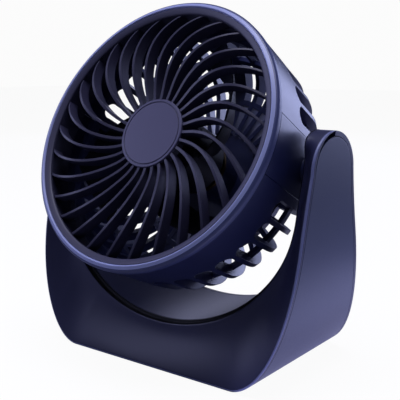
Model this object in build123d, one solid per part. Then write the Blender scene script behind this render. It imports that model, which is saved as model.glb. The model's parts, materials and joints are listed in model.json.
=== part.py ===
from build123d import *
from math import asin, cos, pi, radians, sin, sqrt, tan
import os

# Small desk fan: a round fan head that tilts between the two arms of a U-shaped cradle base.
# Millimetres. +Z is up, -Y is the blowing direction's side, +X is the right arm seen from the front.
# Origin: on the surface the fan stands on, straight below the middle of the tilt axis.

# ---- driving sizes: head -------------------------------------------------------------------
RIM_R = 70.5            # largest radius of the head, at the trim ring
TILT_REST = 27.0        # upward tilt of the head as stored, degrees
HEAD_LENGTH = 69.0      # trim ring crest to rear face
PIVOT_DEPTH = HEAD_LENGTH - 29.5  # trim ring crest to tilt axis, along the fan axis
BARREL_DRAFT = 3.1      # taper of the barrel, degrees
SHOULDER_START = 41.0   # where the barrel begins to round over to the rear
REAR_FLAT_R = RIM_R - 26.5  # radius where the rounded shoulder reaches the flat rear
SHELL_T = 2.2           # wall of the barrel
BEVEL_T = 3.2           # radial width of the trim ring's outer bevel
TRIM_BACK = 5.0         # depth of the trim ring

# ---- driving sizes: front grille -----------------------------------------------------------
RIB_COUNT = 29
RIB_T = 1.3             # thickness of a spiral rib
RIB_DEPTH = 6.2         # how deep a rib is from its front edge back
GRILLE_HUB_BACK = 9.0   # rear face of the hub that carries the ribs
OPENING_R = RIM_R - 6.7  # clear radius of the grille opening
COLLAR_T = 2.4          # wall of the collar that the ribs end in
COLLAR_BACK = 16.0      # rear end of the collar
CAP_R = 18.0            # centre disc
CAP_FACE = 3.0          # how far the centre disc lies behind the crest
CAP_T = 1.6
# angle and depth of a rib's front edge against its radius, as shares of the rim radius
RIB_PATH = ((0.22, 5.6, 3.4), (0.30, 4.9, 3.1), (0.40, 2.9, 1.2), (0.50, 0.0, -0.7),
            (0.60, -3.7, -1.9), (0.70, -8.1, -2.1), (0.80, -13.0, -0.8), (0.90, -18.3, 2.3),
            (0.925, -19.7, 3.4))

# ---- driving sizes: rear housing -----------------------------------------------------------
FIN_PITCH = 10.0        # degrees between rear fins
FIN_T = 2.6
FIN_DEPTH = 6.5
SLOT_START = 29.0       # where the slots' round front ends are centred
PANEL_HALF = 12.0       # half the angle covered by a smooth side panel, degrees
REAR_HUB_R = 22.0
REAR_HUB_T = 5.0
PANEL_GAP = 0.25        # gap round a side panel, and other moulded shut lines

# ---- driving sizes: impeller and motor -----------------------------------------------------
BLADE_COUNT = 3
BLADE_TIP_R = OPENING_R - 3.8
BLADE_CAMBER = 0.08     # rise of a blade's section as a share of its chord
# angle, chord, pitch from the plane of rotation, and thickness of a blade's sections, root to tip
BLADE_SECTIONS = ((4, 20, 58, 2.0), (38, 27, 52, 1.8), (63, 32, 46, 1.6), (82, 36, 40, 1.4),
                  (97, 38, 35, 1.2))
HUB_R = 17.5
HUB_FRONT = 19.0
HUB_LENGTH = 24.0
HUB_T = 1.4
SHAFT_R = 1.5
SHAFT_CLEAR = 0.03      # radial running clearance of the shaft in its bearings
MAGNET_T = 1.9
AIR_GAP = 0.5
TUBE_R = 5.0
TUBE_T = 1.0
BEARING_L = 4.0
FLANGE_R = 15.0
FLANGE_T = 1.8
MOTOR_SCREW_R = 11.2    # radius of the circle that the motor's screws lie on
MOTOR_SCREW_ANGLES = (30, 150, 270)

# ---- driving sizes: cradle base ------------------------------------------------------------
TROUGH_RX = RIM_R + 0.8  # the trough that the head hangs in is a half ellipse
TROUGH_RZ = RIM_R - 13.3
HALF_WIDTH = TROUGH_RX + 10.8  # half the width over the arms
PIVOT_Z = RIM_R + 31.9  # height of the tilt axis
TROUGH_Z = PIVOT_Z - 21.7
ARM_TOP_Z = PIVOT_Z + 19.4
CORNER_RX = 31.1        # the lower corners are tall quarter ellipses
CORNER_RZ = 71.6
GROUND_GAP = 0.8        # the shell floats this far above the surface, on its rubber pad
FRONT_Y = (-38.7, -31.6, -19.0)   # front edge of the side at the foot, half way and arm top
REAR_Y = (51.5, 31.2, 21.4)       # rear edge of the side at the same heights
CROWN_START = PIVOT_Z + 0.6  # where the arms begin to round over
PROFILE_Z = (0.0, CROWN_START / 2, CROWN_START)
PANEL_T = 2.2           # wall of the front and rear panels
FRONT_RECESS = 8.0      # the front panel lies this far inside the side's front edge
REAR_RECESS = 12.0
BAND_T = 1.8            # outer side band
EDGE_STRIP = 2.4        # panel edge that shows round the side band
SEAM = 0.35             # groove between that edge and the band
LIP_WALL = 3.8          # thickness of the panels' rims
LINER_T = 2.0           # trough liner
LINER_GROOVE = 1.4      # dark groove between the front panel and the liner
BOTTOM_HALF = 47.0      # half length of the removable bottom plate
BOTTOM_T = 2.0

# ---- driving sizes: pivots, controls -------------------------------------------------------
PIN_R = 3.0
PIN_CLEAR = 0.05
BUSH_R = 6.0
BUSH_L = 4.2
WASHER_GAP = 0.4        # between a bush's flange and its friction washer
WASHER_T = 0.6
BOSS_R = 6.5
ARM_GAP = 0.5           # between a head boss and the arm's inner face
BUTTON_R = 5.0
BUTTON_TRAVEL = 0.8
BUTTON_GAP = 0.3
BUTTON_X = 14.0
SOCKET_X = -14.0
CONTROL_Z = 15.5        # height of the button and socket on the rear face
BUTTON_PROUD = 1.4
LIGHT_R = 1.1
BOARD_DEPTH = 10.6      # control board's face behind the rear panel's outer face
BOARD_W = 44.0
BOARD_H = 12.0
SWITCH_H = 3.4
SOCKET_W = 9.2
SOCKET_H = 3.4
SOCKET_L = 7.4
BOARD_T = 1.6
SCREW_R = 1.1
SCREW_HEAD_R = 2.1
SCREW_HEAD_T = 1.3
SCREW_X = 34.0
SCREW_FRONT_Y = -14.0
SCREW_REAR_Y = 17.0
PAD_HALF_X = 38.0
PAD_HALF_Y = 16.0
PAD_SINK = 0.7          # how deep the rubber pad sits in the bottom plate

HIGH = 160.0            # taller than anything
WIDE = 200.0

os.makedirs("parts", exist_ok=True)
PARTS = {}


def keep(name, shape):
    PARTS[name] = shape


# ---- head helpers: the head is drawn level, fan axis along Y, tilt axis at the origin --------
def at(depth):
    """Y of a depth behind the trim ring's crest."""
    return depth - PIVOT_DEPTH


def turned(*points):
    """Solid of revolution about the fan axis from (radius, depth) corners."""
    corners = [(r, at(d)) for r, d in points]
    return revolve(Polygon(*corners, align=None), Axis.Y)


def ring(r_in, r_out, front, back):
    return turned((r_in, front), (r_out, front), (r_out, back), (r_in, back))


def disc(radius, front, back):
    return turned((0, front), (radius, front), (radius, back), (0, back))


def barrel_r(depth):
    """Outside radius of the tapered barrel."""
    return RIM_R - 0.3 - (depth - TRIM_BACK) * sin(radians(BARREL_DRAFT))


def barrel_section(front, inset, thickness):
    """Half section of the barrel, shoulder and flat rear, as a strip of the given thickness."""
    r_end = barrel_r(SHOULDER_START)

    def line(step):
        a = (barrel_r(front) - step, at(front))
        b = (r_end - step, at(SHOULDER_START))
        c = (REAR_FLAT_R, at(HEAD_LENGTH) - step)
        d = (REAR_HUB_R - 1, at(HEAD_LENGTH) - step)
        shoulder = EllipticalCenterArc(
            (REAR_FLAT_R, at(SHOULDER_START)), r_end - REAR_FLAT_R - step,
            HEAD_LENGTH - SHOULDER_START - step, start_angle=0, arc_size=90)
        return a, d, [Line(a, b), shoulder, Line(c, d)]

    a1, d1, outer = line(inset)
    a2, d2, inner = line(inset + thickness)
    return make_face(outer + [Line(d1, d2)] + inner + [Line(a2, a1)])


def tilt(shape):
    """Place a level head piece at the stored tilt on the cradle."""
    return Pos(0, 0, PIVOT_Z) * (Rot(-TILT_REST, 0, 0) * shape)


def about_axis(angle, shape):
    """Turn a level head piece about the fan axis, from +X towards +Z."""
    return Rot(0, -angle, 0) * shape


# ---- front grille ----------------------------------------------------------------------------
def polar(r, degrees_):
    return (r * cos(radians(degrees_)), r * sin(radians(degrees_)))


def rib():
    """One spiral rib, its blade cut to the domed front line."""
    left, right = [], []
    for share, angle, _ in RIB_PATH:
        r = share * RIM_R
        half = degrees_of(RIB_T / 2 / r)
        left.append(polar(r, angle + half * 1.15))
        right.append(polar(r, angle - half * 1.15))
    plan = make_face([Spline(*left), Line(left[-1], right[-1]), Spline(*right),
                      Line(right[0], left[0])])
    blade = extrude(Plane.XZ * plan, PIVOT_DEPTH + 20)
    front = [(share * RIM_R, at(d)) for share, _, d in RIB_PATH]
    rear = [(r, y + RIB_DEPTH) for r, y in front]
    side = make_face([Spline(*front), Line(front[-1], rear[-1]), Spline(*rear), Line(rear[0], front[0])])
    return blade & revolve(side, Axis.Y)


def degrees_of(angle):
    return angle * 180 / pi


def make_grille():
    one = rib()
    collar_front = RIB_PATH[-1][2] - 0.8
    collar = turned((OPENING_R, collar_front), (OPENING_R + COLLAR_T, collar_front),
                    (OPENING_R + COLLAR_T, COLLAR_BACK), (OPENING_R + 0.8, COLLAR_BACK))
    hub = disc(CAP_R - 0.7, CAP_FACE + CAP_T, GRILLE_HUB_BACK)
    ribs = [about_axis(360 / RIB_COUNT * i, one) for i in range(RIB_COUNT)]
    seat = disc(CAP_R + 0.05, -6, CAP_FACE + CAP_T)
    keep("front_grille", (hub + [collar] + ribs) - seat)

    border = ring(CAP_R - 1.9, CAP_R - 1.4, CAP_FACE - 1, CAP_FACE + 0.35)
    cap = disc(CAP_R, CAP_FACE, CAP_FACE + CAP_T) - border
    cap = fillet(cap.edges().filter_by(GeomType.CIRCLE).group_by(Axis.Y)[0].sort_by(
        lambda e: e.length)[-1:], 0.4)
    notch = Pos(0, at(CAP_FACE), CAP_R) * Cylinder(0.9, 1.0, rotation=(90, 0, 0))
    keep("grille_cap", cap - notch)


# ---- trim ring, housing, side panels ----------------------------------------------------------
def make_trim():
    crest = RIM_R - BEVEL_T
    lip = OPENING_R + COLLAR_T + PANEL_GAP
    sleeve_end = COLLAR_BACK - 2
    sleeve_r = barrel_r(sleeve_end) - SHELL_T - PANEL_GAP
    outer = [(crest, 0), (crest + 0.8, 0.1), (RIM_R - 0.3, 1.5), (RIM_R, 2.2)]
    seat = [(RIM_R, TRIM_BACK - PANEL_GAP), (sleeve_r, TRIM_BACK - PANEL_GAP)]
    inner = [(lip, 2.4), (OPENING_R, 2.4), (OPENING_R, 2.0)]
    keep("trim_ring", turned(*outer, *seat, (sleeve_r, sleeve_end), (lip, sleeve_end), *inner))


def housing_section():
    """Half section of the rear housing before it is slotted, with its hub and motor post."""
    r_end = barrel_r(SHOULDER_START)
    rear = at(HEAD_LENGTH)
    shoulder = at(SHOULDER_START)
    front = at(TRIM_BACK)
    step = at(SLOT_START - 5)
    r_step = barrel_r(SLOT_START - 5)
    hub_front = rear - REAR_HUB_T
    post_front = at(tube_back() + FLANGE_T / 2)
    outer = EllipticalCenterArc((REAR_FLAT_R, shoulder), r_end - REAR_FLAT_R, rear - shoulder,
                                start_angle=0, arc_size=90)
    inner = EllipticalCenterArc((REAR_FLAT_R, shoulder), r_end - REAR_FLAT_R - FIN_DEPTH,
                                rear - shoulder - FIN_DEPTH, start_angle=0, arc_size=90)
    outside = Polyline((r_end, shoulder), (barrel_r(TRIM_BACK), front),
                       (barrel_r(TRIM_BACK) - SHELL_T, front), (r_step - SHELL_T, step),
                       (r_step - FIN_DEPTH, step), (r_end - FIN_DEPTH, shoulder))
    inside = Polyline((REAR_FLAT_R, rear - FIN_DEPTH), (REAR_HUB_R + 3, rear - FIN_DEPTH),
                      (REAR_HUB_R + 3, hub_front), (FLANGE_R - 1, hub_front),
                      (FLANGE_R - 1, post_front), (TUBE_R + 3.5, post_front),
                      (TUBE_R + 3.5, hub_front), (0, hub_front), (0, rear), (REAR_FLAT_R, rear))
    return make_face(outside.edges() + inside.edges() + [outer, inner])


def slot_tool():
    """Space between two neighbouring fins with parallel faces, with a round front end."""
    half = radians(FIN_PITCH / 2)
    corners = []
    for r in (REAR_HUB_R + 2.5, RIM_R + 15):
        corners.append((r * cos(half) + FIN_T / 2 * sin(half), r * sin(half) - FIN_T / 2 * cos(half)))
    plan = Polygon(*corners, *[(x, -z) for x, z in reversed(corners)], align=None)
    start = at(SLOT_START)
    depth = at(HEAD_LENGTH + 5) - start
    wedge = Pos(0, start, 0) * extrude(Plane.XZ * plan, depth, dir=(0, 1, 0))
    r_low, r_high = RIM_R - 14, RIM_R + 8
    low = r_low * tan(half) - FIN_T / 2 + 0.15
    high = r_high * tan(half) - FIN_T / 2 + 0.15
    cone = Pos((r_low + r_high) / 2, start + 1.5, 0) * Cone(low, high, r_high - r_low, rotation=(0, 90, 0))
    return wedge + cone


def hoops():
    """The two hoops that tie the fins together, behind their outer edges."""
    r_end = barrel_r(SHOULDER_START) - FIN_DEPTH
    shoulder = ring(r_end - 6, r_end + 1.8, SHOULDER_START + 5, SHOULDER_START + 8)
    rear = ring(REAR_FLAT_R - 1.5, REAR_FLAT_R + 1.5, HEAD_LENGTH - 15, HEAD_LENGTH - 3)
    return [shoulder, rear]


def make_housing():
    tool = slot_tool() - hoops()
    slots = []
    for i in range(round(360 / FIN_PITCH)):
        if side_distance(i * FIN_PITCH) > PANEL_HALF:
            slots.append(about_axis(i * FIN_PITCH, tool))
    window_section = barrel_section(TRIM_BACK - 1, -2, SHELL_T + 2.0 + PANEL_GAP)
    ledge = 3.0
    well_half = PANEL_HALF - ledge
    well_section = Polygon((REAR_FLAT_R + 6, at(SLOT_START)), (RIM_R + 5, at(SLOT_START)),
                           (RIM_R + 5, at(HEAD_LENGTH - 14)), (REAR_FLAT_R + 6, at(HEAD_LENGTH - 14)),
                           align=None)
    windows = []
    for side in (0, 180):
        window = window_turned(revolve(window_section, Axis.Y, 2 * PANEL_HALF), 2 * PANEL_HALF)
        windows.append(about_axis(side - PANEL_HALF, window))
        well = window_turned(revolve(well_section, Axis.Y, 2 * well_half), 2 * well_half)
        windows.append(about_axis(side - well_half, well))
    housing = revolve(housing_section(), Axis.Y)
    keep("rear_housing", housing - slots - windows - motor_screw_holes(SCREW_R - 0.2))

    panel_section = barrel_section(TRIM_BACK + PANEL_GAP, 0, SHELL_T)
    panel_angle = 2 * PANEL_HALF - degrees_of(2 * PANEL_GAP / RIM_R)
    keep_out = disc(REAR_FLAT_R + 9, HEAD_LENGTH - 12, HEAD_LENGTH + 5)
    for side, name in ((0, "right"), (180, "left")):
        sign = 1 if side == 0 else -1
        skin = revolve(panel_section, Axis.Y, panel_angle)
        skin = about_axis(side - panel_angle / 2, window_turned(skin, panel_angle)) - keep_out
        start = barrel_r(PIVOT_DEPTH) - SHELL_T - 3
        stop = TROUGH_RX - ARM_GAP
        middle = Pos(sign * (start + stop) / 2, 0, 0)
        boss = middle * Cylinder(BOSS_R, stop - start, rotation=(0, 90, 0))
        bore = middle * Cylinder(PIN_R, 30, rotation=(0, 90, 0))
        keep("side_panel_" + name, (skin + boss) - bore)


def side_distance(angle):
    """Degrees from the nearer end of the tilt axis."""
    angle = angle % 180
    return min(angle, 180 - angle)


def window_turned(shape, angle):
    """revolve() about +Y goes from +X towards -Z; turn it so that it starts at +X towards +Z."""
    return about_axis(angle, shape)


# ---- motor and impeller ------------------------------------------------------------------------
def motor_screw_holes(radius):
    start = tube_back() - FLANGE_T
    hole = Pos(MOTOR_SCREW_R, at(start + 5), 0) * Cylinder(radius, 11, rotation=(90, 0, 0))
    return [about_axis(angle, hole) for angle in MOTOR_SCREW_ANGLES]


def tube_back():
    return HUB_FRONT + HUB_LENGTH + 6


def make_motor():
    cup_inner = HUB_R - HUB_T
    magnet_in = cup_inner - MAGNET_T
    stator_r = magnet_in - AIR_GAP
    front = HUB_FRONT + HUB_T + 2
    back = HUB_FRONT + HUB_LENGTH - 2
    tube_front = HUB_FRONT + HUB_T + 1.2
    tube_inner = TUBE_R - TUBE_T
    flange_front = tube_back() - FLANGE_T / 2
    tube = ring(tube_inner, TUBE_R, tube_front, tube_back())
    flange = ring(tube_inner, FLANGE_R, flange_front, flange_front + FLANGE_T)
    keep("motor_base", (tube + flange) - motor_screw_holes(SCREW_R))
    screws = []
    for angle in MOTOR_SCREW_ANGLES:
        spot = Pos(MOTOR_SCREW_R, 0, 0) * Rot(90, 0, 0)
        head = spot * Cylinder(SCREW_HEAD_R - 0.3, SCREW_HEAD_T)
        head = Pos(0, at(flange_front - SCREW_HEAD_T / 2), 0) * head
        stem = Pos(0, at(flange_front + 4), 0) * (spot * Cylinder(SCREW_R - 0.2, 8))
        screws.append(about_axis(angle, head + stem))
    keep("motor_screws", Compound(children=screws))
    for name, start in (("front_bearing", tube_front + 0.6), ("rear_bearing", flange_front - 5)):
        keep(name, ring(SHAFT_R + SHAFT_CLEAR, tube_inner, start, start + BEARING_L))

    poles = 9
    slot_half = 360 / poles / 2 - 2.5
    core = ring(TUBE_R, TUBE_R + 2, front + 3, back - 3)
    tooth_len = stator_r - TUBE_R - 1
    middle = at((front + back) / 2)
    stack = back - front - 6
    tooth = Pos(TUBE_R + 1 + tooth_len / 2, middle, 0) * Box(tooth_len, stack, 1.8)
    shoe_section = Polygon((stator_r - 1.2, middle - stack / 2), (stator_r, middle - stack / 2),
                           (stator_r, middle + stack / 2), (stator_r - 1.2, middle + stack / 2),
                           align=None)
    shoe = about_axis(-slot_half, window_turned(revolve(shoe_section, Axis.Y, 2 * slot_half),
                                                2 * slot_half))
    coil_len = stator_r - TUBE_R - 2 - 1.2 - 0.4
    coil_x = TUBE_R + 2 + 0.2 + coil_len / 2
    coil = Pos(coil_x, middle, 0) * (Box(coil_len, stack + 3, 3.6) - Box(coil_len + 1, stack + 0.2, 2.0))
    teeth = []
    coils = []
    for i in range(poles):
        teeth += [about_axis(360 / poles * i, tooth), about_axis(360 / poles * i, shoe)]
        coils.append(about_axis(360 / poles * i, coil))
    keep("stator_core", core + teeth)
    keep("stator_coils", Compound(children=coils))
    keep("motor_board", ring(TUBE_R + 0.1, magnet_in - 0.6, back + 0.6, back + 1.6))

    clip = tube_back() - 1.6
    keep("motor_shaft", disc(SHAFT_R, HUB_FRONT + 0.4, clip - 0.2) + disc(SHAFT_R - 0.3, clip - 0.4, clip + 1))
    keep("shaft_clip", ring(SHAFT_R - 0.3, tube_inner - 0.8, clip, clip + 0.5))
    keep("rotor_magnet", ring(magnet_in, cup_inner, front + 1, back))

    hub = disc(HUB_R, HUB_FRONT, HUB_FRONT + HUB_LENGTH) - disc(
        cup_inner, HUB_FRONT + HUB_T, HUB_FRONT + HUB_LENGTH + 1)
    hub = hub + ring(SHAFT_R, SHAFT_R + 1.2, HUB_FRONT, tube_front - 0.4)
    hub = hub - disc(SHAFT_R, HUB_FRONT - 1, HUB_FRONT + 6)
    hub = fillet(hub.edges().filter_by(GeomType.CIRCLE).group_by(Axis.Y)[0].sort_by(
        lambda e: e.length)[-1:], 1.0)
    keep("impeller", hub + blades())


def blade_section(r, angle, chord, pitch, thickness):
    """Cambered section of a blade, square to the radius at this angle."""
    camber = chord * BLADE_CAMBER
    points = []
    for side in (1, -1):
        for t in (-0.5, -0.25, 0, 0.25, 0.5):
            u = t * chord
            v = camber * (1 - 4 * t * t) + side * thickness / 2 * sqrt(1.02 - 3.2 * t * t)
            points.append((u * cos(pitch) - v * sin(pitch), u * sin(pitch) + v * cos(pitch)))
    top, low = points[:5], points[5:]
    face = make_face([Spline(*top), Line(top[-1], low[-1]), Spline(*low), Line(low[0], top[0])])
    # local x runs tangentially, local y runs along the fan axis
    plane = Plane(origin=(r, at(HUB_FRONT + HUB_LENGTH / 2), 0), x_dir=(0, 0, 1), z_dir=(-1, 0, 0))
    return about_axis(angle, plane * face)


def blades():
    """Swept and twisted blades, each lofted through its sections from root to tip."""
    sections = []
    first, last = HUB_R - HUB_T / 2 - 0.5, BLADE_TIP_R + 4
    for i, (angle, chord, pitch, thickness) in enumerate(BLADE_SECTIONS):
        r = first + (last - first) * i / (len(BLADE_SECTIONS) - 1)
        sections.append(blade_section(r, angle, chord, radians(pitch), thickness))
    span = ring(HUB_R - HUB_T / 2, BLADE_TIP_R, HUB_FRONT - 8, HUB_FRONT + HUB_LENGTH + 8)
    blade = loft(sections) & span
    return [about_axis(360 / BLADE_COUNT * i, blade) for i in range(BLADE_COUNT)]


# ---- cradle base -------------------------------------------------------------------------------
def side_profile(front_in, rear_in, top_in):
    """The tombstone outline of the base's side, extruded over the whole width."""
    front = [(y + front_in, z) for y, z in zip(FRONT_Y, PROFILE_Z)]
    rear = [(y - rear_in, z) for y, z in zip(REAR_Y, PROFILE_Z)]
    middle = (front[2][0] + rear[2][0]) / 2
    crown = EllipticalCenterArc((middle, PROFILE_Z[2]), rear[2][0] - middle,
                                ARM_TOP_Z - top_in - PROFILE_Z[2], start_angle=0, arc_size=180)
    face = make_face([ThreePointArc(*front), crown, ThreePointArc(*rear), Line(rear[0], front[0])])
    return extrude(Plane.YZ * face, WIDE / 2, both=True)


def outline(inset):
    """The base's front outline with its tall round lower corners, extruded over the whole depth."""
    cx = HALF_WIDTH - CORNER_RX
    cz = GROUND_GAP + CORNER_RZ
    rx, rz = CORNER_RX - inset, CORNER_RZ - inset
    right = EllipticalCenterArc((cx, cz), rx, rz, start_angle=270, arc_size=90)
    left = EllipticalCenterArc((-cx, cz), rx, rz, start_angle=180, arc_size=90)
    face = make_face([Line((-cx, cz - rz), (cx, cz - rz)), right, Line((cx + rx, cz), (cx + rx, HIGH)),
                      Line((cx + rx, HIGH), (-cx - rx, HIGH)), Line((-cx - rx, HIGH), (-cx - rx, cz)), left])
    return extrude(Plane.XZ * face, WIDE / 2, both=True)


def trough(grow):
    """The space that the head hangs in, grown outwards all round."""
    rx, rz = TROUGH_RX + grow, TROUGH_RZ + grow
    arc = EllipticalCenterArc((0, TROUGH_Z), rx, rz, start_angle=180, arc_size=180)
    face = make_face([arc, Line((rx, TROUGH_Z), (rx, HIGH)), Line((rx, HIGH), (-rx, HIGH)),
                      Line((-rx, HIGH), (-rx, TROUGH_Z))])
    return extrude(Plane.XZ * face, WIDE / 2, both=True)


def half_space(front):
    """Everything in front of, or behind, the shut line where the panels meet at the arm tops."""
    size = WIDE * 2
    split = (FRONT_Y[2] + REAR_Y[2]) / 2
    reach = size / 2 - PANEL_GAP / 2
    y = split - reach if front else split + reach
    return Pos(0, y, 0) * Box(size, size, size)


def make_base():
    whole = outline(0)
    lipped = outline(LIP_WALL)
    band_hull = whole - outline(BAND_T + PANEL_GAP)
    band_room = band_hull & side_profile(EDGE_STRIP, EDGE_STRIP, EDGE_STRIP)
    front_in = FRONT_RECESS + PANEL_T
    rear_in = REAR_RECESS + PANEL_T
    skin = (side_profile(0, 0, 0) - side_profile(front_in, rear_in, PANEL_T)) & whole
    skin = skin - trough(0) - band_room
    room_height = 2 * (GROUND_GAP + BOTTOM_T)
    bottom_room = Pos(0, 6, 0) * Box(2 * BOTTOM_HALF + 2 * PANEL_GAP, WIDE, room_height)
    skin = skin - (side_profile(EDGE_STRIP, EDGE_STRIP, 0) & bottom_room)

    front_dish = side_profile(-5, 0, LIP_WALL) - side_profile(FRONT_RECESS, -20, -20)
    front = skin - half_space(False) - (front_dish & lipped)
    keep("front_panel", largest(front))
    rear_dish = side_profile(0, -5, LIP_WALL) - side_profile(-20, REAR_RECESS, -20)
    rear = skin - half_space(True) - (rear_dish & lipped)
    keep("rear_panel", largest(rear - control_holes()))

    inside = EDGE_STRIP + SEAM
    band = (whole - outline(BAND_T)) & side_profile(inside, inside, inside)
    band = band - bottom_room
    keep("side_cover_right", band & Pos(WIDE / 2, 0, 0) * Box(WIDE, WIDE * 2, WIDE * 2))
    keep("side_cover_left", band & Pos(-WIDE / 2, 0, 0) * Box(WIDE, WIDE * 2, WIDE * 2))

    liner = (trough(LINER_T) - trough(0)) & side_profile(front_in + LINER_GROOVE, rear_in + PANEL_GAP,
                                                        PANEL_T + PANEL_GAP)
    posts = []
    for x, y in screw_places():
        rise = TROUGH_Z - (TROUGH_RZ + LINER_T / 2) * sqrt(1 - (x / (TROUGH_RX + LINER_T / 2)) ** 2)
        low = GROUND_GAP + BOTTOM_T
        post = Pos(x, y, (rise + low) / 2) * Cylinder(3.0, rise - low)
        posts.append(post - Pos(x, y, low + 6) * Cylinder(SCREW_R, 12.01))
    pin_hole = Cylinder(PIN_R + 0.4, WIDE, rotation=(0, 90, 0))
    keep("trough_liner", (liner + posts) - Pos(0, 0, PIVOT_Z) * pin_hole)

    plate = Pos(0, 0, GROUND_GAP + BOTTOM_T / 2) * Box(2 * BOTTOM_HALF, WIDE, BOTTOM_T)
    plate = plate & side_profile(inside, inside, 0)
    pad = Pos(0, 0, (GROUND_GAP + PAD_SINK) / 2) * rounded_block(
        PAD_HALF_X, PAD_HALF_Y, GROUND_GAP + PAD_SINK, PAD_HALF_Y - 0.5)
    plate = plate - pad
    for x, y in screw_places():
        plate = plate - Pos(x, y, 0) * Cylinder(SCREW_R + 0.2, 10)
        plate = plate - Pos(x, y, GROUND_GAP) * Cylinder(SCREW_HEAD_R + 0.2, 2 * SCREW_HEAD_T)
    keep("bottom_plate", plate)
    keep("foot_pad", pad)
    screws = []
    for x, y in screw_places():
        head = Pos(x, y, GROUND_GAP + SCREW_HEAD_T / 2) * Cylinder(SCREW_HEAD_R, SCREW_HEAD_T)
        stem = Pos(x, y, GROUND_GAP + SCREW_HEAD_T + 4.5) * Cylinder(SCREW_R, 9.02)
        cross = Pos(x, y, GROUND_GAP) * (Box(2.4, 0.5, 0.8) + Box(0.5, 2.4, 0.8))
        screws.append((head + stem) - cross)
    keep("bottom_screws", Compound(children=screws))

    weight = Pos(0, -3, GROUND_GAP + BOTTOM_T + 3) * rounded_block(24, 17, 6, 4)
    keep("ballast_weight", weight)


def largest(shape):
    return max(shape.solids(), key=lambda s: s.volume)


def screw_places():
    return [(sx * SCREW_X, y) for sx in (-1, 1) for y in (SCREW_FRONT_Y, SCREW_REAR_Y)]


def rounded_block(half_x, half_y, height, radius):
    return extrude(RectangleRounded(2 * half_x, 2 * half_y, radius), height / 2, both=True)


def control_place(x):
    """Where a control sits on the rear panel's outer face: local +Y points out of the face."""
    (y0, z0), (y1, z1), (y2, z2) = zip(REAR_Y, PROFILE_Z)
    a = Vector(y0 - REAR_RECESS, z0)
    b = Vector(y1 - REAR_RECESS, z1)
    c = Vector(y2 - REAR_RECESS, z2)
    edge = ThreePointArc(a, b, c)
    centre = edge.arc_center
    radius = edge.radius
    run = sqrt(radius ** 2 - (CONTROL_Z - centre.Y) ** 2)
    lean = (CONTROL_Z - centre.Y) / radius
    y = centre.X - run
    return Pos(x, y, CONTROL_Z) * Rot(asin(-lean) * 180 / pi, 0, 0)


def along_y(y0, y1, radius):
    return Pos(0, (y0 + y1) / 2, 0) * Cylinder(radius, y1 - y0, rotation=(90, 0, 0))


def slot_block(width, height, y0, y1):
    block = extrude(Plane.XZ * SlotOverall(width, height), (y1 - y0) / 2, both=True)
    return Pos(0, (y0 + y1) / 2, 0) * block


def control_holes():
    button = control_place(BUTTON_X) * along_y(-8, 8, BUTTON_R + BUTTON_GAP)
    socket = control_place(SOCKET_X) * slot_block(SOCKET_W + 0.3, SOCKET_H + 0.3, -8, 8)
    light = control_place(0) * along_y(-8, 8, LIGHT_R + 0.1)
    return [button, socket, light]


def make_controls():
    board_face = -BOARD_DEPTH
    board = Pos(0, board_face - BOARD_T / 2, 0) * Box(BOARD_W, BOARD_T, BOARD_H)
    keep("control_board", control_place(0) * board)
    switch_front = board_face + SWITCH_H
    switch = Pos(0, (board_face + switch_front) / 2, 0) * Box(6, SWITCH_H, 6)
    keep("tact_switch", control_place(BUTTON_X) * switch)
    flange_front = -PANEL_T - 0.5 - BUTTON_TRAVEL
    flange = along_y(flange_front, -PANEL_T - 0.5, BUTTON_R + 1.0)
    cap = along_y(-PANEL_T - 0.5, BUTTON_PROUD, BUTTON_R)
    cap = chamfer(cap.edges().filter_by(GeomType.CIRCLE).sort_by(Axis.Y)[-1:], 0.5)
    stem = along_y(switch_front + BUTTON_TRAVEL + 0.3, flange_front, 1.5)
    keep("speed_button", control_place(BUTTON_X) * (cap + flange + stem))
    mouth = -0.2
    back = mouth - SOCKET_L
    wall = 0.35
    shell = slot_block(SOCKET_W, SOCKET_H, back, mouth)
    shell = shell - slot_block(SOCKET_W - 2 * wall, SOCKET_H - 2 * wall, back + 0.8, mouth + 1)
    keep("usb_socket", control_place(SOCKET_X) * shell)
    tongue_end = mouth - 0.8
    tongue = Pos(0, (back + 0.8 + tongue_end) / 2, 0) * Box(6.6, tongue_end - back - 0.8, 0.7)
    keep("socket_tongue", control_place(SOCKET_X) * tongue)
    saddle = Pos(0, (board_face + back) / 2, 0) * Box(8, back - board_face, 3)
    keep("socket_saddle", control_place(SOCKET_X) * saddle)
    keep("light_pipe", control_place(0) * along_y(board_face + 0.8, 0.2, LIGHT_R))


# ---- tilt pivots -------------------------------------------------------------------------------
def make_pivots():
    inner_face = TROUGH_RX + LINER_T
    outer_room = HALF_WIDTH - BAND_T - PANEL_GAP
    for sign, name in ((1, "right"), (-1, "left")):
        def along_x(x0, x1, radius):
            return Pos(sign * (x0 + x1) / 2, 0, 0) * Cylinder(radius, x1 - x0, rotation=(0, 90, 0))
        start = barrel_r(PIVOT_DEPTH) - SHELL_T - 3
        shaft_end = outer_room - 1.0
        head = along_x(start - 1.5, start, PIN_R + 1.6)
        pin = along_x(start - 0.5, shaft_end, PIN_R) + head
        keep("pivot_pin_" + name, pin)
        bush_end = inner_face + BUSH_L
        washer_start = bush_end + WASHER_GAP
        washer_end = washer_start + WASHER_T
        bush = along_x(inner_face, bush_end, BUSH_R) - along_x(start, outer_room, PIN_R + PIN_CLEAR)
        keep("pivot_bush_" + name, Pos(0, 0, PIVOT_Z) * bush)
        washer = along_x(washer_start, washer_end, BUSH_R - 0.6) - along_x(start, outer_room, PIN_R)
        keep("friction_washer_" + name, washer)


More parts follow.
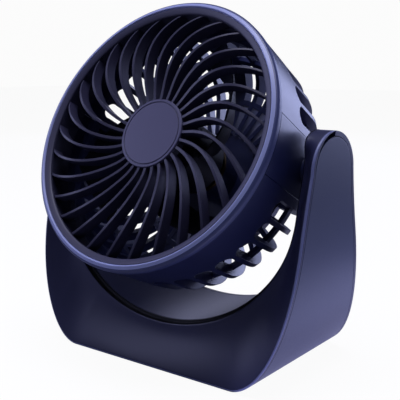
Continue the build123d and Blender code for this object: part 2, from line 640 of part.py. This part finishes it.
def build():
    make_grille()
    make_trim()
    make_housing()
    make_motor()
    keep("rear_cap", disc(REAR_HUB_R - 2.5, HEAD_LENGTH, HEAD_LENGTH + 1.0))
    make_pivots()
    head = set(PARTS) - {"pivot_bush_right", "pivot_bush_left"}
    for name in head:
        PARTS[name] = tilt(PARTS[name])
    make_base()
    make_controls()
    for name, shape in PARTS.items():
        export_step(shape, "parts/" + name + ".step")


build()
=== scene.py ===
import json
import math

import bmesh
import bpy
from mathutils import Matrix, Vector


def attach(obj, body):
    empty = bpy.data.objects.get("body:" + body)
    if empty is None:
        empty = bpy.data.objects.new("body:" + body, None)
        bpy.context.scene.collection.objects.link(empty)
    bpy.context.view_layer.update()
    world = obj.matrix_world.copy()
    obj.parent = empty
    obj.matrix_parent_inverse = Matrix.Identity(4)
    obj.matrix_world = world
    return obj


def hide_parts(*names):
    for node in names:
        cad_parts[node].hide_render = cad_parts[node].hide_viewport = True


# A small desk fan: a round fan head that tilts between the two arms of a cradle base.

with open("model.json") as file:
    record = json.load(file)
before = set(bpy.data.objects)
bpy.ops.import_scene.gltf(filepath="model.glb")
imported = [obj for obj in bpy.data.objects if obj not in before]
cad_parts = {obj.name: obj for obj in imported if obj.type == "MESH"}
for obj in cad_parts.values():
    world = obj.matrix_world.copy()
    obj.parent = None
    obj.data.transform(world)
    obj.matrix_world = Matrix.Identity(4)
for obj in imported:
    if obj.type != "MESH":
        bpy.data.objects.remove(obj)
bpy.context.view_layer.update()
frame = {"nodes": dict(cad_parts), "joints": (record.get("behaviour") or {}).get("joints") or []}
NODES = frame["nodes"]
MM = 0.001


# ---- materials ---------------------------------------------------------------------------
def linear(code):
    """sRGB hex to the linear colour that the shaders take."""
    parts = [int(code[i:i + 2], 16) / 255 for i in (1, 3, 5)]
    return tuple(c / 12.92 if c <= 0.04045 else ((c + 0.055) / 1.055) ** 2.4 for c in parts) + (1.0,)


def add(tree, kind, links=None, **settings):
    """Add a node, set its sockets and properties, and link its inputs."""
    node = tree.nodes.new("ShaderNode" + kind)
    for name, value in settings.items():
        if name in node.inputs:
            node.inputs[name].default_value = value
        elif name.replace("_", " ") in node.inputs:
            node.inputs[name.replace("_", " ")].default_value = value
        else:
            setattr(node, name, value)
    for name, source in (links or {}).items():
        tree.links.new(source, node.inputs[name])
    return node


# the colour Mix node's factor and two colours, which share their names with its other modes
MIX_FACTOR, MIX_FIRST, MIX_SECOND = 0, 6, 7
EDGE_SAMPLES = 6                  # rays that the rounded-edge shading takes


def start(name):
    mat = bpy.data.materials.new(name)
    mat.use_nodes = True
    mat.node_tree.nodes.clear()
    return mat, mat.node_tree


def moulded(name, base, shade, rough, grain_mm=0.5, bump_mm=0.01, spec=0.5, coat=0.0, edge_mm=0.35):
    """Injection-moulded plastic: a fine spark-eroded grain that breaks the gloss up, faint flow
    clouds in the colour, and edges rounded by the tool, which catch the light."""
    mat, tree = start(name)
    where = add(tree, "TexCoord").outputs["Object"]
    grain = add(tree, "TexNoise", {"Vector": where}, Scale=1 / (grain_mm * MM), Detail=3.0, Roughness=0.6)
    cloud = add(tree, "TexNoise", {"Vector": where}, Scale=1 / (28 * MM), Detail=2.0, Roughness=0.5)
    colour = add(tree, "Mix", data_type="RGBA")
    tree.links.new(cloud.outputs["Fac"], colour.inputs[MIX_FACTOR])
    colour.inputs[MIX_FIRST].default_value = linear(base)
    colour.inputs[MIX_SECOND].default_value = linear(shade)
    gloss = add(tree, "MapRange", {"Value": grain.outputs["Fac"]}, From_Min=0.3, From_Max=0.7,
                To_Min=rough - 0.05, To_Max=rough + 0.05)
    edge = add(tree, "Bevel", Radius=edge_mm * MM, samples=EDGE_SAMPLES)
    bump = add(tree, "Bump", {"Height": grain.outputs["Fac"], "Normal": edge.outputs["Normal"]},
               Strength=0.35, Distance=bump_mm * MM)
    shader = add(tree, "BsdfPrincipled", {"Base Color": colour.outputs[2], "Normal": bump.outputs["Normal"],
                                          "Roughness": gloss.outputs["Result"]})
    shader.inputs["IOR"].default_value = 1.53
    shader.inputs["Specular IOR Level"].default_value = spec
    shader.inputs["Coat Weight"].default_value = coat
    shader.inputs["Coat Roughness"].default_value = 0.25
    add(tree, "OutputMaterial", {"Surface": shader.outputs["BSDF"]})
    return mat


def metal(name, colour, rough, streak_mm=0.0, bump_mm=0.004):
    """Bare metal: a machined surface whose roughness wanders, with turning lines that stretch the
    highlights when streak_mm is given."""
    mat, tree = start(name)
    where = add(tree, "TexCoord").outputs["Object"]
    drawn_out = (1.0, 12.0, 1.0) if streak_mm else (1.0, 1.0, 1.0)
    stretch = add(tree, "Mapping", {"Vector": where}, Scale=drawn_out)
    lines = add(tree, "TexNoise", {"Vector": stretch.outputs["Vector"]},
                Scale=1 / ((streak_mm or 0.6) * MM), Detail=3.0, Roughness=0.6)
    gloss = add(tree, "MapRange", {"Value": lines.outputs["Fac"]}, From_Min=0.3, From_Max=0.7,
                To_Min=rough - 0.07, To_Max=rough + 0.07)
    edge = add(tree, "Bevel", Radius=0.15 * MM, samples=EDGE_SAMPLES)
    bump = add(tree, "Bump", {"Height": lines.outputs["Fac"], "Normal": edge.outputs["Normal"]},
               Strength=0.3, Distance=bump_mm * MM)
    shader = add(tree, "BsdfPrincipled", {"Roughness": gloss.outputs["Result"],
                                          "Normal": bump.outputs["Normal"]}, Metallic=1.0)
    shader.inputs["Base Color"].default_value = linear(colour)
    add(tree, "OutputMaterial", {"Surface": shader.outputs["BSDF"]})
    return mat


def banded(name, base, line, pitch_mm, axis, metallic, rough):
    """Stacked or wound material: fine parallel bands along one axis, each a ridge with a dark line
    beside it, so laminations and windings read as layers."""
    mat, tree = start(name)
    where = add(tree, "TexCoord").outputs["Object"]
    bands = add(tree, "TexWave", {"Vector": where}, bands_direction=axis, Scale=0.314 / (pitch_mm * MM),
                Distortion=0.4, Detail=1.0)
    colour = add(tree, "Mix", data_type="RGBA")
    tree.links.new(bands.outputs["Fac"], colour.inputs[MIX_FACTOR])
    colour.inputs[MIX_FIRST].default_value = linear(line)
    colour.inputs[MIX_SECOND].default_value = linear(base)
    bump = add(tree, "Bump", {"Height": bands.outputs["Fac"]}, Strength=0.6, Distance=pitch_mm * 0.2 * MM)
    shader = add(tree, "BsdfPrincipled",
                 {"Base Color": colour.outputs[2], "Normal": bump.outputs["Normal"]},
                 Metallic=metallic, Roughness=rough)
    add(tree, "OutputMaterial", {"Surface": shader.outputs["BSDF"]})
    return mat


def clear(name, colour, rough):
    """Clear moulded acrylic: it lets light through with a slight frost from the mould."""
    mat, tree = start(name)
    where = add(tree, "TexCoord").outputs["Object"]
    frost = add(tree, "TexNoise", {"Vector": where}, Scale=1 / (0.4 * MM), Detail=2.0, Roughness=0.5)
    gloss = add(tree, "MapRange", {"Value": frost.outputs["Fac"]}, From_Min=0.3, From_Max=0.7,
                To_Min=rough, To_Max=rough + 0.1)
    shader = add(tree, "BsdfPrincipled", {"Roughness": gloss.outputs["Result"]}, IOR=1.49)
    shader.inputs["Base Color"].default_value = linear(colour)
    shader.inputs["Transmission Weight"].default_value = 0.9
    add(tree, "OutputMaterial", {"Surface": shader.outputs["BSDF"]})
    return mat


# Tinted ABS of the cradle: satin navy, soft broad highlights on its large curves.
SHELL = moulded("moulded_abs_shell", "#2E3052", "#292B4B", 0.42)
# Bluer ABS of the side covers: their flat faces read as plain navy beside the violet panels.
COVER = moulded("moulded_abs_cover", "#222C50", "#1F294A", 0.4)
# The same ABS on the head, slightly glossier, so the barrel carries a clear highlight.
HEAD_ABS = moulded("moulded_abs_head", "#2A3058", "#262B50", 0.34)
# Light blue ABS of the trim ring, partly a lighter plastic and partly a painted highlight: its pale crest
# stands in for the light that the front bevel catches, the one bright line that draws the round front.
TRIM_AND_PAINTED_HIGHLIGHT = moulded("moulded_abs_trim_and_painted_highlight", "#A6AEDC", "#9EA6D6", 0.36)
# The trim ring's outer bevel: deeper blue than its crest, so that the crest's painted highlight stays a
# thin line.
BEVEL = moulded("moulded_abs_bevel", "#4C5380", "#474E7A", 0.36)
# Dark ribs with little gloss, so the grille reads as lines against the black inside.
GRILLE = moulded("moulded_abs_grille", "#34334A", "#302F44", 0.45, spec=0.3)
# Painted highlight on the rounded rim of the cradle panels: a thin pale line round their outline, in place
# of the light that the edge catches.
RIM_PAINTED_HIGHLIGHT = moulded("rim_painted_highlight", "#7C82AE", "#767CA8", 0.4)
# Inner lip of the trim ring: duller and darker than its crest, it sets off the crest's painted highlight.
LIP = moulded("moulded_abs_lip", "#3C3B55", "#383750", 0.5)
# Round cap at the middle of the grille: an even grey-violet disc.
CAP = moulded("moulded_abs_cap", "#4A4868", "#464462", 0.5)
# Impeller polypropylene: nearly black, waxy, seen only through the gaps.
BLADE = moulded("moulded_polypropylene_blades", "#10111C", "#0D0E18", 0.5, spec=0.3)
# Black ABS of the socket and the switch: it stays near black. On the panel the same black is painted shade
# in the groove round the trough.
BLACK_AND_PAINTED_SHADE = moulded("moulded_abs_black_and_painted_shade", "#08080C", "#0A0A0E", 0.6, spec=0.2)
# White-grey acetal of the pivot bushes: smooth, slightly waxy.
ACETAL = moulded("moulded_acetal", "#C9C9C4", "#BFBFBA", 0.32, bump_mm=0.004)
# Rubber of the foot pad: dead matt, with a coarse soft grain that spreads the light.
RUBBER = moulded("moulded_rubber", "#17171A", "#131316", 0.85, grain_mm=0.8, bump_mm=0.03, spec=0.25,
                 edge_mm=0.5)
# Green solder resist of the circuit boards: glossy lacquer with a faint mottling.
BOARD = moulded("laminated_fibreglass_board", "#14502C", "#0F4325", 0.3, grain_mm=0.9, bump_mm=0.004,
                coat=0.4, edge_mm=0.1)
# Sintered ferrite of the rotor magnet: charcoal, grainy, with no shine.
FERRITE = moulded("sintered_ferrite", "#2B2A2C", "#232224", 0.75, grain_mm=0.3, bump_mm=0.015)
# Zinc-plated steel of screws, pins and clips: cold grey with small bright glints.
STEEL = metal("zinc_plated_steel", "#B4B8BD", 0.34)
# Ground steel of the shaft: turning lines draw the highlight out round it.
SHAFT = metal("ground_steel", "#C3C6CA", 0.22, streak_mm=0.35)
# Turned brass of the motor base, gone dull and brown with handling: it stays quiet inside.
BRASS = metal("turned_brass", "#5E4C2C", 0.45, streak_mm=0.35)
# Hardened steel of the bearings: darker and smoother than the plated screws.
BEARING = metal("hardened_steel", "#8E9196", 0.25)
# Raw mild steel of the ballast weight: dark, rough and grainy from the mill.
RAW_STEEL = metal("mild_steel", "#5A5A5C", 0.58, bump_mm=0.02)
# Stacked steel sheets of the stator core: fine layers seen from the side.
LAMINATIONS = banded("laminated_steel", "#8F9297", "#4B4D52", 0.5, "Y", 1.0, 0.45)
# Enamelled copper wire of the coils: warm, glossy turns side by side.
COPPER = banded("enamelled_copper_wire", "#C77A42", "#6A3413", 0.35, "Y", 0.9, 0.3)
# Clear acrylic of the light pipe.
ACRYLIC = clear("clear_acrylic", "#F2F6FA", 0.08)

MATERIALS = {
    "front_panel": SHELL, "rear_panel": SHELL, "side_cover_left": COVER, "side_cover_right": COVER,
    "trough_liner": SHELL, "rear_housing": HEAD_ABS, "side_panel_left": HEAD_ABS,
    "side_panel_right": HEAD_ABS,
    "rear_cap": HEAD_ABS, "trim_ring": TRIM_AND_PAINTED_HIGHLIGHT, "front_grille": GRILLE, "grille_cap": CAP, "impeller": BLADE,
    "bottom_plate": SHELL, "speed_button": SHELL, "ballast_weight": RAW_STEEL, "foot_pad": RUBBER,
    "bottom_screws": STEEL, "motor_screws": STEEL, "friction_washer_left": STEEL,
    "friction_washer_right": STEEL,
    "pivot_pin_left": STEEL, "pivot_pin_right": STEEL, "shaft_clip": STEEL, "usb_socket": STEEL,
    "front_bearing": BEARING, "rear_bearing": BEARING, "motor_shaft": SHAFT, "motor_base": BRASS,
    "pivot_bush_left": ACETAL, "pivot_bush_right": ACETAL, "control_board": BOARD, "motor_board": BOARD,
    "rotor_magnet": FERRITE, "stator_core": LAMINATIONS, "stator_coils": COPPER, "light_pipe": ACRYLIC,
    "socket_saddle": BLACK_AND_PAINTED_SHADE, "socket_tongue": BLACK_AND_PAINTED_SHADE, "tact_switch": BLACK_AND_PAINTED_SHADE,
}
for name, node in NODES.items():
    node.data.materials.clear()
    node.data.materials.append(MATERIALS[name])

# ---- sizes taken over from the part, in metres -------------------------------------------
JOINTS = {joint["name"]: joint for joint in frame["joints"]}
PIVOT = Vector(JOINTS["head_tilt"]["pos_m"])
FAN_AXIS = Vector(JOINTS["impeller_spin"]["axis"])
TILT = math.atan2(FAN_AXIS.z, -FAN_AXIS.y)
HEAD = Matrix.Translation(PIVOT) @ Matrix.Rotation(-TILT, 4, "X")
PIVOT_DEPTH = 39.5 * MM           # trim ring crest to tilt axis

HALF_WIDTH = 82.1 * MM
ARM_TOP = 121.8 * MM
GROUND_GAP = 0.8 * MM
CORNER = (31.1 * MM, 71.6 * MM)   # half axes of the tall round lower corners
TROUGH = (71.3 * MM, 57.2 * MM)   # half axes of the trough
TROUGH_Z = 80.7 * MM
CROWN_Z = 103.0 * MM              # where the arms begin to round over
FRONT_EDGE = ((-38.7, 0.0), (-31.6, 51.5), (-19.0, 103.0))
REAR_EDGE = ((51.5, 0.0), (31.2, 51.5), (21.4, 103.0))


def finish_mesh(bm, name, body, replaced, materials, smooth_angle=35):
    """Make the mesh an object that rides on its body in place of the CAD nodes."""
    bmesh.ops.recalc_face_normals(bm, faces=bm.faces)
    mesh = bpy.data.meshes.new(name)
    bm.to_mesh(mesh)
    bm.free()
    for polygon in mesh.polygons:
        polygon.use_smooth = True
    for edge in mesh.edges:
        edge.use_edge_sharp = False
    mesh.set_sharp_from_angle(angle=math.radians(smooth_angle))
    piece = bpy.data.objects.new(name, mesh)
    bpy.context.scene.collection.objects.link(piece)
    for material in materials:
        mesh.materials.append(material)
    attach(piece, body)
    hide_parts(*replaced)
    return piece


def circle_through(a, b, c):
    """Centre and radius of the circle through three points."""
    d = 2 * (a[0] * (b[1] - c[1]) + b[0] * (c[1] - a[1]) + c[0] * (a[1] - b[1]))
    sa, sb, sc = (p[0] ** 2 + p[1] ** 2 for p in (a, b, c))
    x = (sa * (b[1] - c[1]) + sb * (c[1] - a[1]) + sc * (a[1] - b[1])) / d
    y = (sa * (c[0] - b[0]) + sb * (a[0] - c[0]) + sc * (b[0] - a[0])) / d
    return x, y, math.hypot(a[0] - x, a[1] - y)


SPLIT_Y = (FRONT_EDGE[2][0] + REAR_EDGE[2][0]) / 2 * MM


def side_edge(points, z):
    """Y of the side's front or rear edge at a height, along its arc and over the arm's crown."""
    if z > CROWN_Z:
        half = points[2][0] * MM - SPLIT_Y
        up = min(1.0, (z - CROWN_Z) / (ARM_TOP - CROWN_Z))
        return SPLIT_Y + half * math.sqrt(1 - up * up)
    x, y, radius = circle_through(*points)
    run = math.sqrt(radius ** 2 - (z / MM - y) ** 2)
    return (x + math.copysign(run, points[1][0] - x)) * MM


def panel_rails(share, cut):
    """Outer and inner outline points of the right half of a panel, from arm top to bottom middle."""
    arm, crown = 0.36, 0.35       # share of the outline along an arm, and of the arm over its crown
    if share < arm:
        up = share / arm
        if up < crown:
            z = CROWN_Z + (ARM_TOP - CROWN_Z) * math.cos(up / crown * math.pi / 2)
        else:
            z = CROWN_Z + (TROUGH_Z - CROWN_Z) * (up - crown) / (1 - crown)
        return Vector((HALF_WIDTH, z)), Vector((cut.x, z))
    way = (share - arm) / (1 - arm)
    turn = way * math.pi / 2
    inner = Vector((cut.x * math.cos(turn), TROUGH_Z - cut.y * math.sin(turn)))
    corner_z = GROUND_GAP + CORNER[1]
    corner_x = HALF_WIDTH - CORNER[0]
    straight, bend = 0.07, 0.62   # shares of the rest where the side's straight and its corner end
    if way < straight:
        return Vector((HALF_WIDTH, TROUGH_Z + (corner_z - TROUGH_Z) * way / straight)), inner
    if way < bend:
        turn = (way - straight) / (bend - straight) * math.pi / 2
        return Vector((corner_x + CORNER[0] * math.cos(turn), corner_z - CORNER[1] * math.sin(turn))), inner
    return Vector((corner_x * (1 - (way - bend) / (1 - bend)), GROUND_GAP)), inner


def sink(share):
    """How far the dished face has sunk, from 0 at the rim to 1 where it runs level."""
    t = min(1.0, share)
    return 1 - (1 - t) ** 2 * (1 + 1.2 * t)


def dished_panel(name, node, edge, sign, recess, strip):
    """A cradle panel: a narrow rounded rim all round the outside, and inside it a face that sinks
    away in one long smooth curve to the edge of the trough. Its back follows at the wall's thickness."""
    along, round_r, rim, lip_r, wall = 220, 0.7 * MM, 1.1 * MM, 0.6 * MM, 2.0 * MM
    dish, crown_fade, groove = 30 * MM, 14 * MM, 1.5 * MM
    round_end, face_end, lip_end, front_rows, back_rows = 5, 37, 39, 43, 10
    # the groove between the panel and the trough liner is real geometry; its faces are painted black as
    # shade
    groove_profile = ((0.0, 2.0), (0.5, 2.4), (1.4, 2.4), (1.4, 3.4))   # mm past the edge, and mm deep
    across = front_rows + back_rows + 1
    cut = Vector((TROUGH[0] + groove, TROUGH[1] + groove))
    bm = bmesh.new()
    bmesh.ops.create_grid(bm, x_segments=along, y_segments=across, size=0.5)
    for face in bm.faces:
        row = (face.calc_center_median().y + 0.5) * across
        # faces on the rounded rim take the painted highlight
        in_highlight_rim, in_shaded_groove = 1 < row < round_end + 1, face_end + 1 < row < front_rows
        face.material_index = 1 if in_highlight_rim else 2 if in_shaded_groove else 0
    for vert in bm.verts:
        u = vert.co.x * 2
        k = round((vert.co.y + 0.5) * across)
        outer, inner = panel_rails(1 - abs(u), cut)
        width = (inner - outer).length
        direction = (inner - outer) / width
        height = outer.y
        blend = min(0.92 * (width - rim), dish)
        fade = min(1.0, max(0.0, (ARM_TOP - height) / crown_fade))
        fade = fade * fade * (3 - 2 * fade)
        if k == 0:
            inset, back = 0.0, strip
        elif k <= round_end:
            angle = (k - 1) / (round_end - 1) * math.pi / 2
            inset, back = round_r * (1 - math.cos(angle)), round_r * (1 - math.sin(angle))
        elif k <= face_end:
            inset = rim + (width - rim - lip_r) * (k - round_end - 1) / (face_end - round_end - 1)
            back = recess * fade * sink((inset - rim) / blend)
        elif k <= lip_end:
            angle = (k - face_end) / (lip_end - face_end) * math.pi / 2
            inset = width - lip_r + lip_r * math.sin(angle)
            back = recess * fade + lip_r * (1 - math.cos(angle))
        elif k <= front_rows:
            past, deep = groove_profile[k - lip_end - 1]
            inset = width + past * MM
            back = recess * fade + deep * MM
        elif k < across:
            inset = rim + (width - rim - lip_r) * (across - 1 - k) / (back_rows - 1)
            back = recess * fade * sink((inset - rim) / blend) + wall
        else:
            inset, back = 0.0, strip
        flat = outer + direction * inset
        x = math.copysign(flat.x, u) if abs(u) > 1e-6 else 0.0
        y = side_edge(edge, min(max(flat.y, 0.0), ARM_TOP)) + sign * back
        vert.co = Vector((x, y, flat.y))
    bmesh.ops.remove_doubles(bm, verts=bm.verts, dist=1e-6)
    ends = [edge for edge in bm.edges if edge.is_boundary]
    bmesh.ops.holes_fill(bm, edges=ends, sides=0)
    return finish_mesh(bm, name, "base", [node], [SHELL, RIM_PAINTED_HIGHLIGHT, BLACK_AND_PAINTED_SHADE], 50)


def turned_ring(name, node, profile, kinds, materials, body="head", steps=224):
    """A ring turned about the fan axis from (radius, depth) corners in millimetres."""
    bm = bmesh.new()
    verts = [bm.verts.new((r * MM, d * MM - PIVOT_DEPTH, 0)) for r, d in profile]
    edges = [bm.edges.new((a, b)) for a, b in zip(verts, verts[1:] + verts[:1])]
    bmesh.ops.spin(bm, geom=verts + edges, cent=(0, 0, 0), axis=(0, 1, 0), angle=2 * math.pi,
                   steps=steps, use_merge=True)
    for face in bm.faces:
        centre = face.calc_center_median()
        radius = math.hypot(centre.x, centre.z) / MM
        depth = (centre.y + PIVOT_DEPTH) / MM
        face.material_index = kinds(radius, depth)
    bmesh.ops.transform(bm, matrix=HEAD, verts=bm.verts)
    bmesh.ops.remove_doubles(bm, verts=bm.verts, dist=1e-7)
    return finish_mesh(bm, name, body, [node], materials, 25)


dished_panel("front_panel_shell", "front_panel", FRONT_EDGE, 1, 8.0 * MM, 2.4 * MM)

# The pale crest, a painted highlight, covers the front faces between these radii and ahead of CREST_BACK.
LIP_R, CREST_R = 67.1, 69.0       # where the ring's dull inner lip and its pale crest end
CREST_BACK = 1.5                  # the crest's colour ends at this depth
# (radius, depth): inner lip, groove, crest, outer bevel, rim, and back along the sleeve that holds it
TRIM_PROFILE = [(63.9, 2.0), (64.1, 1.7), (64.5, 1.45), (66.6, 0.55), (66.9, 0.5),
                (67.05, 0.75), (67.2, 0.75), (67.35, 0.3), (67.6, 0.05), (67.9, 0.0),
                (68.6, 0.37), (69.3, 0.74), (69.9, 1.08), (70.25, 1.65), (70.45, 2.1),
                (70.5, 2.6), (70.5, 4.5), (70.3, 4.75), (68.0, 4.75),
                (67.3, 13.9), (66.5, 13.9), (66.5, 2.5), (63.9, 2.5)]


def ring_part(radius, depth):
    """Which of the ring's materials a face takes: 0 crest with its painted highlight, 1 inner lip, 2 bevel
    and sleeve.
    """
    if radius < LIP_R:
        return 1
    return 0 if radius < CREST_R and depth < CREST_BACK else 2


turned_ring("trim_ring_shell", "trim_ring", TRIM_PROFILE, ring_part, [TRIM_AND_PAINTED_HIGHLIGHT, LIP, BEVEL])

# ---- floor, lights, camera ---------------------------------------------------------------
bpy.ops.mesh.primitive_plane_add(size=8)
floor = bpy.context.object
floor.name = "floor"
mat, tree = start("pale_floor")
paper = add(tree, "BsdfDiffuse", Color=linear("#48484A"))
glow = add(tree, "Emission", Color=linear("#FFFFFF"), Strength=0.95)
eye = add(tree, "LightPath")
shown = add(tree, "AddShader")
tree.links.new(paper.outputs[0], shown.inputs[0])
tree.links.new(glow.outputs[0], shown.inputs[1])
dim = add(tree, "BsdfDiffuse", Color=linear("#8C8C92"))
choice = add(tree, "MixShader", {"Fac": eye.outputs["Is Camera Ray"]})
tree.links.new(dim.outputs[0], choice.inputs[1])
tree.links.new(shown.outputs[0], choice.inputs[2])
add(tree, "OutputMaterial", {"Surface": choice.outputs[0]})
floor.data.materials.append(mat)


def softbox(name, place, aim, width, height, watts, colour="#FFFFFF"):
    data = bpy.data.lights.new(name, "AREA")
    data.shape = "RECTANGLE"
    data.size, data.size_y = width, height
    data.energy = watts
    data.color = linear(colour)[:3]
    lamp = bpy.data.objects.new(name, data)
    bpy.context.scene.collection.objects.link(lamp)
    lamp.location = place
    lamp.visible_camera = False
    lamp.rotation_mode = "QUATERNION"
    lamp.rotation_quaternion = (Vector(aim) - Vector(place)).to_track_quat("-Z", "Y")
    return lamp


# The back box draws the barrel's highlight, the top and front ones shape the cradle, and the two
# low reflectors lift the side cover and its foot.
softbox("back_softbox", (0.28, 1.1, 0.27), (0.0, 0.0, 0.12), 0.75, 0.5, 5.0, "#C4CCFF")
softbox("back_left_softbox", (-0.85, 1.0, 0.3), (0.0, 0.0, 0.08), 0.5, 0.3, 1.0, "#D0D4FF")
softbox("top_softbox", (0.05, -0.1, 1.0), (0.0, 0.0, 0.1), 0.7, 0.5, 7, "#E4E6FF")
softbox("floor_reflector", (0.22, 0.14, 0.004), (0.22, 0.14, 1.0), 0.26, 0.4, 0.18, "#AEB8FF")
softbox("foot_reflector", (0.1, 0.06, 0.0005), (0.1, 0.06, 1.0), 0.09, 0.24, 0.06, "#C8C8FF")
softbox("front_softbox", (-0.95, -0.45, 0.5), (0.0, 0.0, 0.1), 0.5, 0.4, 4.0, "#C8CCFF")

world = bpy.data.worlds.new("studio")
world.use_nodes = True
bpy.context.scene.world = world
tree = world.node_tree
tree.nodes.clear()
seen = add(tree, "Background", Color=linear("#FFFFFF"), Strength=0.97)
fill = add(tree, "Background", Color=linear("#DCE2FF"), Strength=0.06)
ray = add(tree, "LightPath")
mix = add(tree, "MixShader", {"Fac": ray.outputs["Is Camera Ray"]})
tree.links.new(fill.outputs[0], mix.inputs[1])
tree.links.new(seen.outputs[0], mix.inputs[2])
add(tree, "OutputWorld", {"Surface": mix.outputs[0]})

scene = bpy.context.scene
scene.view_settings.view_transform = "Standard"
scene.view_settings.look = "None"

AZIMUTH, ELEVATION, DISTANCE = math.radians(37.06), math.radians(10.08), 0.4437
AIM = Vector((-0.0207, 0.0346, 0.0739))
back = Vector((math.sin(AZIMUTH) * math.cos(ELEVATION), -math.cos(AZIMUTH) * math.cos(ELEVATION),
               math.sin(ELEVATION)))
lens = bpy.data.cameras.new("camera")
lens.sensor_width = 36.0
lens.lens = 68.5
camera = bpy.data.objects.new("camera", lens)
scene.collection.objects.link(camera)
camera.location = AIM + back * DISTANCE
camera.rotation_mode = "QUATERNION"
camera.rotation_quaternion = (-back).to_track_quat("-Z", "Y")
scene.camera = camera
